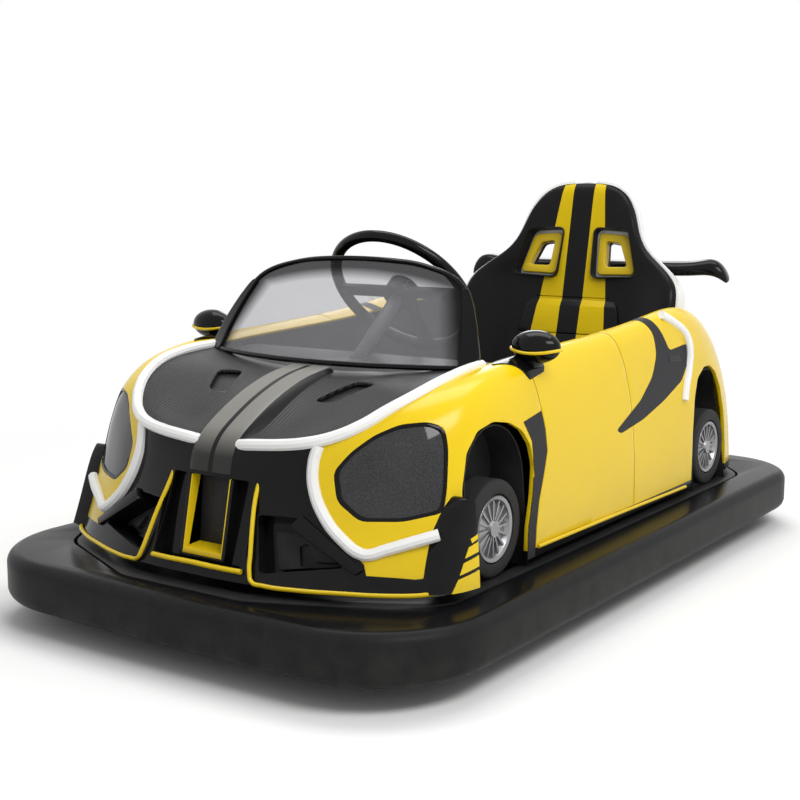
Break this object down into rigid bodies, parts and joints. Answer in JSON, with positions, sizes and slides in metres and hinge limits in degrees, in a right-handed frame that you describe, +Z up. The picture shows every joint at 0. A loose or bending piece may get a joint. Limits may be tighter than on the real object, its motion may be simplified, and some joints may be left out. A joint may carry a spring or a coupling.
{
  "type": "bumper car",
  "caption": "Battery bumper car with a full rubber ring, sports-car style shell, bucket seat, smoked screen, a steered drive wheel in front and fixed wheels behind.",
  "frame": {"origin": "on the floor, under the middle of the bumper ring", "axes": "+X forwards, +Y to the driver's left, +Z up"},
  "size_m": [1.95, 1.138, 0.9107],
  "materials": {
    "bare_steel": "brushed",
    "battery_case": "matt",
    "deck_black": "gloss",
    "disc_silver": "satin",
    "frame_steel": "satin",
    "hood_black": "gloss, fine ribs",
    "lamp_red": "gloss",
    "lamp_smoke": "gloss",
    "light_white": "gloss",
    "liner_black": "matt",
    "rim_alloy": "satin",
    "ring_rubber": "satin",
    "road_tyre": "matt",
    "screen_smoke": "tinted",
    "seat_black": "gloss",
    "seat_pad": "satin",
    "shell_black": "gloss",
    "shell_yellow": "gloss",
    "trim_tyre": "matt",
    "wheel_black": "gloss"
  },
  "bodies": {
    "chassis": {"bumper_ring": "ring_rubber", "chassis_frame": "frame_steel", "floor_pan": "deck_black", "body_skirt": "shell_black", "arch_liners": "liner_black", "trim_tyres": "trim_tyre", "trim_discs": "disc_silver", "door_left": "shell_yellow", "door_right": "shell_yellow", "front_fascia": "shell_black", "nose_frame": "shell_black", "headlights": "lamp_smoke", "hood": "hood_black", "hood_light_strip": "light_white", "fender_left": "shell_yellow", "fender_right": "shell_yellow", "rear_fender_left": "shell_yellow", "rear_fender_right": "shell_yellow", "tail_panel": "shell_yellow", "tail_lamps": "lamp_red", "windscreen": "screen_smoke", "windscreen_frame": "shell_black", "dashboard": "liner_black", "seat_shell": "seat_black", "seat_riser": "liner_black", "seat_cushion": "seat_pad", "battery": "battery_case", "rear_wing": "shell_black", "mirrors": "shell_black", "steering_column": "frame_steel", "drive_cover": "liner_black", "drive_bearing": "frame_steel", "rear_axle": "frame_steel", "pedal": "bare_steel"},
    "steering_wheel": {"steering_wheel": "wheel_black"},
    "drive_unit": {"drive_fork": "frame_steel"},
    "drive_wheel": {"drive_tyre": "road_tyre", "drive_rim": "rim_alloy"},
    "rear_wheel_left": {"rear_tyre_left": "road_tyre", "rear_rim_left": "rim_alloy"},
    "rear_wheel_right": {"rear_tyre_right": "road_tyre", "rear_rim_right": "rim_alloy"}
  },
  "joints": [
    {"name": "steer", "type": "hinge", "parent": "chassis", "child": "drive_unit", "pos_m": [0.59, 0, 0.1], "axis": [0, 0, 1], "range_deg": [-60, 60]},
    {"name": "steering_wheel_turn", "type": "hinge", "parent": "chassis", "child": "steering_wheel", "pos_m": [0.175, 0, 0.66], "axis": [-0.766, 0, 0.6428], "range_deg": [-150, 150]},
    {"name": "drive_wheel_spin", "type": "hinge", "parent": "drive_unit", "child": "drive_wheel", "pos_m": [0.59, 0, 0.075], "axis": [0, 1, 0], "continuous": true},
    {"name": "rear_wheel_left_spin", "type": "hinge", "parent": "chassis", "child": "rear_wheel_left", "pos_m": [-0.485, 0.3, 0.075], "axis": [0, 1, 0], "continuous": true},
    {"name": "rear_wheel_right_spin", "type": "hinge", "parent": "chassis", "child": "rear_wheel_right", "pos_m": [-0.485, -0.3, 0.075], "axis": [0, 1, 0], "continuous": true}
  ],
  "couplings": [
    {"joint": "steering_wheel_turn", "follows": "steer", "ratio": 2.5}
  ]
}
